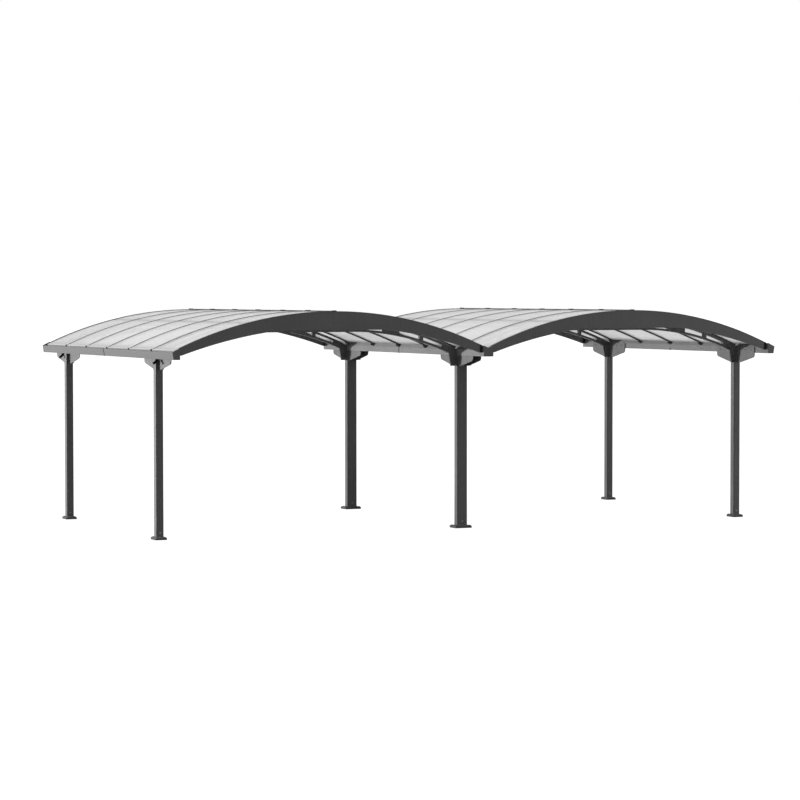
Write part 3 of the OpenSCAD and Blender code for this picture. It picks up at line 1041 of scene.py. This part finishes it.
@dataclass
class Gutters(Assembly):
    """Three gutters in two lengths each, with end caps and joint seals."""

    lengths: tuple[str, ...] = named("gutter_{}_{}", COLUMNS, ROWS)
    caps: tuple[str, ...] = named("gutter_caps_{}", ROWS)
    edge_r: float = 0.0010
    cap_edge_r: float = 0.0008
    seal_w: float = 0.016
    seal_t: float = 0.0012
    seal_shoulder: float = 0.9
    seal_stretch: float = 2.5
    outer_rise: float = 0.4
    middle_rise: float = 0.92
    cap_screw: PanScrew = PanScrew(radius=0.0042, height=0.0024, washer=0.0050)
    cap_w: float = 0.083
    outer_screws: Pair = (0.014, 0.056)
    middle_screw: float = 0.042
    screw_rise: float = 0.012

    def build(self) -> None:
        """Paints the gutters and caps, and adds joint seals and cap screws."""
        # The gutters take the coat painted paler for the light on them.
        self.dress(self.lengths, self.finishes.dusty, self.edge_r)
        self.dress(self.caps, self.finishes.coat, self.cap_edge_r)
        seals, screws = Form(), Form()
        outlines = [self._outer_outline(side) for side in Side] + [self._middle_outline()]
        for outline in outlines:
            self._seal(seals, outline)
        for row in Row:
            self._cap_screws(screws, row)
        seals.make("gutter_joint_seals", self.finishes.rubber, Slot.RUBBER)
        screws.make("gutter_cap_screws", self.finishes.coat, Slot.COAT)

    def _outer_outline(self, side: Side) -> list[Pair]:
        """Outside of an outer gutter, from its lip to its inner wall, in X and Z.

        Args:
            side: Which gutter.

        Returns:
            The outline's points.
        """
        c = self.carport
        low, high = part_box(f"gutter_{side.name.lower()}_front")
        inner = low.x if side is Side.RIGHT else high.x
        points = [
            (c.gutter_bottom_w + c.gutter_lean, c.gutter_lip_h),
            (c.gutter_bottom_w, 0.0),
            (0.0, 0.0),
            (0.0, c.gutter_wall_h * self.outer_rise),
        ]
        return [(inner + side.value * x, low.z + z) for x, z in points]

    def _middle_outline(self) -> list[Pair]:
        """Outside of the middle gutter, from wall to wall, in X and Z.

        Returns:
            The outline's points.
        """
        low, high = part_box("gutter_middle_front")
        rise = self.carport.gutter_wall_h * self.middle_rise
        return [(high.x, low.z + rise), (high.x, low.z), (low.x, low.z), (low.x, low.z + rise)]

    def _seal(self, form: Form, outline: Sequence[Pair]) -> None:
        """Adds a raised seal strip round a gutter at its joint.

        Args:
            form: The form that takes it.
            outline: The gutter's outside in X and Z.
        """
        points = [Vector((x, 0.0, z)) for x, z in outline]
        middle = sum((point for point in points), Vector()) / len(points)
        sections = []
        for i, point in enumerate(points):
            ways = [(b - a).normalized() for a, b in zip(points, points[1:])]
            before, after = ways[max(0, i - 1)], ways[min(len(ways) - 1, i)]
            out = Vector((-(before + after).z, 0.0, (before + after).x)).normalized()
            if out.dot(point - middle) < 0:
                out = -out
            spread = max(1.0 / self.seal_stretch, abs(out.dot(Vector((-after.z, 0.0, after.x)))))
            rise = out * self.seal_t / spread
            half = AXIS_Y * self.seal_w / 2
            shoulder = half * self.seal_shoulder
            steps = [(-half, -rise), (-shoulder, rise), (shoulder, rise), (half, -rise)]
            sections.append([point + along + away for along, away in steps])
        form.skin(sections, closed=False)

    def _cap_screws(self, form: Form, row: Row) -> None:
        """Adds the screws on the three caps at one end.

        Args:
            form: The form that takes them.
            row: Which end.
        """
        low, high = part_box(f"gutter_caps_{row.name.lower()}")
        face = low.y if row is Row.FRONT else high.y
        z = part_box("gutter_middle_front")[0].z + self.screw_rise
        places = []
        for side in Side:
            inner = low.x + self.cap_w if side is Side.LEFT else high.x - self.cap_w
            places += [inner + side.value * x for x in self.outer_screws]
        places += [side.value * self.middle_screw for side in Side]
        for x in places:
            self.cap_screw.add(form, Vector((x, face, z)), AXIS_Y * row.value)


@dataclass
class Fascias(Assembly):
    """Crescent boards across the arches' ends, with a block at each end."""

    boards: tuple[str, ...] = named("fascia_{}_{}_{}", ROWS, SIDES, HALVES)
    edge_r: float = 0.0015
    screw_u: Pair = (0.750, 1.383)
    screw_r: float = 4.110
    hem_w: float = 0.010
    hem_t: float = 0.0016
    hem_inset: float = 0.0008
    hem_end: float = 0.003
    hem_steps: int = 72
    mid_h: float = 0.195
    bow_h: float = 0.160
    end_h: float = 0.088

    def build(self) -> None:
        """Paints the boards and blocks, and adds screws and hems."""
        self.dress(self.boards, self.finishes.coat, self.edge_r)
        self.dress(["fascia_end_blocks_left"], self.finishes.coat)
        # Painted shade: the right-end blocks take black rubber for the shade in the recess at
        # those ends, while the left-end ones keep the coat.
        self.dress(["fascia_end_blocks_right"], self.finishes.rubber)
        screws, hems = Form(), Form()
        for side, row in self.carport.quarters():
            for u in self.screw_u:
                for way in (-1, 1):
                    at = self.carport.on_fascia(side, row, way * u, self.screw_r)
                    PanScrew().add(screws, at, AXIS_Y * row.value)
            self._hem(hems, side, row, self._top, -1.0)
            self._hem(hems, side, row, self._bottom, 1.0)
        screws.make("fascia_screws", self.finishes.coat, Slot.COAT)
        hems.make("fascia_hems", self.finishes.coat, Slot.COAT)

    def _top(self, u: float) -> float:
        """Height of a board's upper edge at a distance from the arch's centre."""
        return self.carport.arc_z(self.carport.roof_r, u)

    def _bottom(self, u: float) -> float:
        """Height of a board's lower edge at a distance from the arch's centre.

        Args:
            u: Distance from the arch's centre.

        Returns:
            The height.
        """
        c = self.carport
        reach = self._reach()
        drop = c.crest_z - self.bow_h - (self._top(reach) - self.end_h)
        radius = (reach * reach + drop * drop) / (2.0 * drop)
        arc = c.crest_z - self.bow_h - radius + math.sqrt(radius * radius - u * u)
        return min(c.crest_z - self.mid_h, arc)

    def _reach(self) -> float:
        """Distance from an arch's centre to a board's end."""
        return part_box("fascia_front_right_outer")[1].x - self.carport.arch_x

    def _hem(
        self, form: Form, side: Side, row: Row, edge: Callable[[float], float], way: float
    ) -> None:
        """Adds the rolled hem along one edge of a fascia.

        Args:
            form: The form that takes it.
            side: Which arch.
            row: Which end.
            edge: Height of the edge at a distance from the arch's centre.
            way: 1 where the board is above the edge, -1 where it is below.
        """
        c = self.carport
        reach = self._reach() - self.hem_end
        face = row.value * c.fascia_face_y
        rise = row.value * self.hem_t
        sections = []
        for i in range(self.hem_steps + 1):
            u = -reach + 2.0 * reach * i / self.hem_steps
            x = side.value * c.arch_x + u
            z = edge(u) + way * self.hem_inset
            sections.append(
                [
                    Vector((x, face - rise * 0.5, z)),
                    Vector((x, face + rise * 0.7, z + way * 0.0006)),
                    Vector((x, face + rise, z + way * self.hem_w * 0.3)),
                    Vector((x, face + rise, z + way * self.hem_w * 0.7)),
                    Vector((x, face + rise * 0.6, z + way * self.hem_w * 0.95)),
                    Vector((x, face - rise * 0.5, z + way * self.hem_w)),
                ]
            )
        form.skin(sections, closed=False)


@dataclass
class Trusses(Assembly):
    """Arched trusses between the brackets, one across each arch at each post row."""

    names: tuple[str, ...] = named("truss_{}_{}", ROWS, SIDES) + named("truss_ends_{}", ROWS)
    edge_r: float = 0.0010
    bolt: HexBolt = HexBolt()
    half_w: float = 0.020
    chord_r: float = 4.082
    chord_out_r: float = 4.094
    plate_u: Pair = (0.872, 0.992)
    end_u: Pair = (1.552, 1.592)
    end_drop: Pair = (0.022, 0.058)
    tie_drop: float = 0.225
    tie_flat: float = 0.493
    tie_end: Pair = (1.6175, 0.082)
    chord_h: float = 0.024

    def build(self) -> None:
        """Paints the trusses and adds the bolts of their joint plates and ends."""
        self.dress(self.names, self.finishes.coat, self.edge_r)
        bolts = Form()
        for side, row in self.carport.quarters():
            for u, z in self._places():
                for face in Row:
                    x = side.value * self.carport.arch_x + u
                    y = self.carport.row_y(row) + face.value * self.half_w
                    at = Vector((x, y, z))
                    self.bolt.add(bolts, at, AXIS_Y * face.value)
        bolts.make("truss_bolts", self.finishes.coat, Slot.COAT)

    def _places(self) -> Iterator[Pair]:
        """Goes through the bolts of one truss.

        Yields:
            Each bolt's distance from the arch's centre, and its height.
        """
        c = self.carport
        for way in (-1, 1):
            for u in self.plate_u:
                yield way * u, c.arc_z(self.chord_r, u)
                yield way * u, self._tie_z(u)
            for u in self.end_u:
                for drop in self.end_drop:
                    yield way * u, c.arc_z(self.chord_out_r, u) - drop

    def _tie_z(self, u: float) -> float:
        """Height of the lower chord's middle at a distance from the arch's centre.

        Args:
            u: Distance from the arch's centre.

        Returns:
            The height.
        """
        c = self.carport
        flat_z = c.crest_z - self.tie_drop
        end_u, end_drop = self.tie_end
        end_z = c.arc_z(self.chord_out_r, end_u) - end_drop
        run, drop = end_u - self.tie_flat, flat_z - end_z
        radius = (run * run + drop * drop) / (2.0 * drop)
        off = max(0.0, u - self.tie_flat)
        return flat_z - radius + math.sqrt((radius + self.chord_h / 2) ** 2 - off * off)


@dataclass
class Roof(Assembly):
    """Ribs, purlins and clear sheets of both arches."""

    ribs: tuple[str, ...] = named("ribs_{}", SIDES)
    sheets: tuple[str, ...] = named("roof_sheets_{}", SIDES)
    end_edge_r: float = 0.0008
    bays: int = 6
    rib_half: float = 0.0125
    joint_half: float = 0.021
    end_gap: float = 0.022
    sheet_out_r: float = 4.134
    sheet_in_r: float = 4.124
    trim_wall: float = 0.0012
    trim_lip: float = 0.016
    trim_drip: float = 0.018
    purlin_u: float = 0.932
    purlin_in_r: float = 4.094
    purlin_screw: PanScrew = PanScrew(radius=0.0050, height=0.0030, washer=0.0065)
    screw_gap: float = 0.018

    def build(self) -> None:
        """Paints the roof's parts, and adds the sheets' end trims and purlin screws."""
        self.dress(self.ribs, self.finishes.bleached)
        self.dress(["purlins"], self.finishes.coat)
        self.dress(self.sheets, self.finishes.sheet)
        self.dress(["rib_end_plugs"], self.finishes.rubber, self.end_edge_r)
        self.dress(["crown_covers"], self.finishes.plastic, self.end_edge_r)
        self.dress(["crown_strips"], self.finishes.rubber)
        trims, screws = Form(), Form()
        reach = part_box("roof_sheets_right")[1].x - self.carport.arch_x
        for side in Side:
            for way in (-1, 1):
                for bay in range(self.bays):
                    self._trim(trims, side, way, bay, reach)
            for rib in range(1, self.bays):
                self._purlin_screws(screws, side, (rib - self.bays / 2) * self.carport.bay)
        trims.make("sheet_end_trims", self.finishes.trim, Slot.COAT)
        screws.make("purlin_screws", self.finishes.steel)

    def _trim(self, form: Form, side: Side, way: int, bay: int, reach: float) -> None:
        """Adds the channel that closes one sheet's flutes at an eave, with its drip edge.

        Args:
            form: The form that takes it.
            side: Which arch.
            way: Which eave of the arch.
            bay: Which sheet, from the front.
            reach: Distance from the arch's centre to the sheets' ends.
        """
        c = self.carport
        start = (bay - self.bays / 2) * c.bay + self.joint_half
        end = start + c.bay - 2.0 * self.joint_half
        limit = c.fascia_face_y - self.end_gap
        start, end = max(start, -limit), min(end, limit)
        angle = math.asin(reach / self.sheet_in_r)
        down = Vector((way * math.cos(angle), 0.0, -math.sin(angle)))
        up = radial(way, angle)
        tip = c.axis(side) + up * self.sheet_in_r
        wall, lip, depth = self.trim_wall, self.trim_lip, self.sheet_out_r - self.sheet_in_r
        outline = [
            (-lip, -wall), (0.0, -wall), (0.0, -self.trim_drip), (wall, -self.trim_drip),
            (wall, depth + wall), (-lip, depth + wall), (-lip, depth), (0.0, depth),
            (0.0, 0.0), (-lip, 0.0),
        ]
        rings = [
            [tip + down * run + up * rise + AXIS_Y * y for run, rise in outline]
            for y in (start, end)
        ]
        form.skin(rings, closed=False)

    def _purlin_screws(self, form: Form, side: Side, y: float) -> None:
        """Adds the screws that hold the purlins to one rib.

        Args:
            form: The form that takes them.
            side: Which arch.
            y: The rib's place.
        """
        gap = self.rib_half + self.screw_gap
        for way in (-1, 1):
            up = radial(way, math.asin(self.purlin_u / self.carport.roof_r))
            middle = self.carport.axis(side) + up * self.purlin_in_r
            for row in Row:
                self.purlin_screw.add(form, middle + AXIS_Y * (y + row.value * gap), -up)


@dataclass
class Outlets(Assembly):
    """Rainwater elbows under the outer gutters."""

    pipe_r: float = 0.013
    knuckle_r: float = 0.015
    knuckle_drop: float = 0.020
    lean: float = math.radians(50.0)
    spout: float = 0.046
    mouth_r: float = 0.0152
    mouth_lip: float = 0.006

    def build(self) -> None:
        """Paints the elbows and adds a flanged collar and a beaded mouth to each."""
        self.dress(["rainwater_outlets"], self.finishes.plastic)
        collars = Form()
        lean = self.lean
        reach = self.spout * math.sin(lean)
        drop = self.knuckle_drop + self.spout * math.cos(lean)
        edge = self.pipe_r * math.cos(lean)
        low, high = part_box("rainwater_outlets")
        for side, row in self.carport.quarters():
            x = (high.x if side is Side.RIGHT else low.x) - side.value * (reach + edge)
            y = (high.y if row is Row.REAR else low.y) - row.value * self.knuckle_r
            top = Vector((x, y, high.z))
            self._collar(collars, top)
            way = Vector((side.value * math.sin(lean), 0.0, -math.cos(lean)))
            self._mouth(collars, top + Vector((side.value * reach, 0.0, -drop)), way)
        collars.make("outlet_collars", self.finishes.plastic, Slot.PLASTIC)

    def _collar(self, form: Form, at: Vector) -> None:
        """Adds one flanged and ribbed collar, hanging under the gutter.

        Args:
            form: The form that takes it.
            at: Where the pipe meets the gutter.
        """
        r = self.pipe_r
        profile = [
            (r - 0.0015, 0.0), (r + 0.0045, 0.0), (r + 0.0045, 0.0018), (r + 0.0020, 0.0024),
            (r + 0.0020, 0.0050), (r + 0.0008, 0.0056), (r + 0.0020, 0.0062), (r + 0.0020, 0.0088),
            (r + 0.0008, 0.0094), (r - 0.0015, 0.0096),
        ]
        form.turn(profile, 32, facing(at, -AXIS_Z))

    def _mouth(self, form: Form, at: Vector, way: Vector) -> None:
        """Adds the rolled bead around one spout's mouth, with its dark bore.

        Args:
            form: The form that takes it.
            at: Centre of the mouth.
            way: The way the spout points.
        """
        r, bead, lip = self.pipe_r, self.mouth_r, self.mouth_lip
        profile = [
            (0.0, 0.0002), (r - 0.0025, 0.0002), (r - 0.0018, 0.0012), (r + 0.0006, 0.0014),
            (bead, 0.0004), (bead, -0.4 * lip), (bead - 0.0008, -0.6 * lip), (r - 0.0006, -lip),
        ]
        form.turn(profile, 32, facing(at, way))


@dataclass(frozen=True)
class SoftBox:
    """A soft box that stands around the carport and faces it.

    The bearing is in degrees from +Y towards +X, and the level is how bright the box itself looks.
    """

    name: str
    bearing: float
    distance: float
    width: float
    height: float
    middle_z: float
    level: float

    def build(self) -> None:
        """Makes the lamp, which the camera doesn't see."""
        lamp = bpy.data.lights.new(self.name, "AREA")
        lamp.shape = "RECTANGLE"
        lamp.size, lamp.size_y = self.width, self.height
        lamp.energy = self.level * math.pi * self.width * self.height
        box = bpy.data.objects.new(self.name, lamp)
        angle = math.radians(self.bearing)
        way = Vector((math.sin(angle), math.cos(angle), 0.0))
        box.location = way * self.distance + AXIS_Z * self.middle_z
        box.rotation_mode = "QUATERNION"
        box.rotation_quaternion = way.to_track_quat("Z", "Y")
        box.visible_camera = False
        bpy.context.scene.collection.objects.link(box)


@dataclass(frozen=True)
class Studio:
    """Floor, daylight, lamps and camera."""

    eye: Triple = (-13.268, -28.501, 2.533)
    turn: float = 24.895
    tilt: float = -2.19
    roll: float = 0.04
    lens: float = 125.5
    sensor: float = 36.0
    clip: Pair = (0.1, 600.0)
    floor_half: float = 260.0
    key: Triple = (0.0, 0.15, 0.98)
    base: float = 0.06
    key_gain: float = 1.15
    key_power: float = 1.5
    top_gain: float = 0.30
    sun_way: Triple = (-0.10, 0.10, 0.97)
    sun_power: float = 1.8
    sun_angle: float = 20.0
    boxes: tuple[SoftBox, ...] = (
        SoftBox("rim_box", -26.0, 16.0, 19.0, 6.0, 3.0, 0.03),
        SoftBox("side_box", -38.5, 60.0, 7.0, 2.0, 1.0, 490.0),
        SoftBox("fill_box", 127.0, 12.5, 2.5, 2.5, 2.2, 7.5),
    )

    def build(self) -> None:
        """Makes the floor, the world, the sun and the camera."""
        self._floor()
        self._world()
        self._sun()
        for box in self.boxes:
            box.build()
        self._camera()

    def _floor(self) -> None:
        """Makes the pale floor, which isn't part of the object."""
        half = self.floor_half
        mesh = bpy.data.meshes.new("floor")
        corners = [(-half, -half, 0.0), (half, -half, 0.0), (half, half, 0.0), (-half, half, 0.0)]
        mesh.from_pydata(corners, [], [(0, 1, 2, 3)])
        mesh.materials.append(PaleFloor().material())
        floor = bpy.data.objects.new("floor", mesh)
        bpy.context.scene.collection.objects.link(floor)
        floor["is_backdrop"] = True

    def _world(self) -> None:
        """Makes a soft daylight that is white where it is looked at."""
        world = bpy.data.worlds.new("daylight")
        world.use_nodes = True
        bpy.context.scene.world = world
        graph = Graph(world.node_tree)
        way = graph.value("ShaderNodeTexCoord", output="Generated")
        toward = Vector(self.key).normalized()
        ends = {0: way, 1: tuple(toward)}
        lit = graph.value("ShaderNodeVectorMath", {"operation": "DOT_PRODUCT"}, ends, "Value")
        top = graph.value("ShaderNodeSeparateXYZ", inputs={0: way}, output="Z")
        key = lit.biggest(0.0) ** self.key_power * self.key_gain
        level = self.base + key + top.biggest(0.0) * self.top_gain
        soft = graph.value("ShaderNodeBackground", inputs={"Strength": level})
        white = graph.value("ShaderNodeBackground", inputs={"Strength": 1.0})
        for shade in (soft, white):
            shade.socket.node.inputs["Color"].default_value = WHITE
        shown = graph.blend(seen_rays(graph), soft, white)
        graph.node("ShaderNodeOutputWorld", inputs={"Surface": shown})

    def _sun(self) -> None:
        """Makes the soft sun from behind on the left."""
        lamp = bpy.data.lights.new("soft_sun", "SUN")
        lamp.energy = self.sun_power
        lamp.angle = math.radians(self.sun_angle)
        sun = bpy.data.objects.new("soft_sun", lamp)
        sun.rotation_mode = "QUATERNION"
        sun.rotation_quaternion = Vector(self.sun_way).to_track_quat("Z", "Y")
        bpy.context.scene.collection.objects.link(sun)

    def _camera(self) -> None:
        """Makes the camera."""
        data = bpy.data.cameras.new("camera")
        data.lens = self.lens
        data.sensor_width = self.sensor
        data.clip_start, data.clip_end = self.clip
        camera = bpy.data.objects.new("camera", data)
        camera.location = self.eye
        angles = (90.0 + self.tilt, self.roll, -self.turn)
        camera.rotation_euler = [math.radians(a) for a in angles]
        bpy.context.scene.collection.objects.link(camera)
        bpy.context.scene.camera = camera


def write_sizes() -> None:
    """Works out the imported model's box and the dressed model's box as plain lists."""
    boxes = {"cad": CAD_BOX, "visual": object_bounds()}
    plain = {name: [list(corner) for corner in box] for name, box in boxes.items()}


def main() -> None:
    """Builds the sub-assemblies in order, then the studio."""
    logging.basicConfig(level=logging.INFO, format="%(message)s")
    bpy.context.scene.view_settings.view_transform = "Standard"
    carport, finishes = Carport(), Finishes()
    for kind in (Posts, Brackets, Gutters, Fascias, Trusses, Roof, Outlets):
        log.info("assembly %s", kind.__name__)
        kind(carport, finishes).build()
    Studio().build()
    write_sizes()


if __name__ == "__main__":
    main()
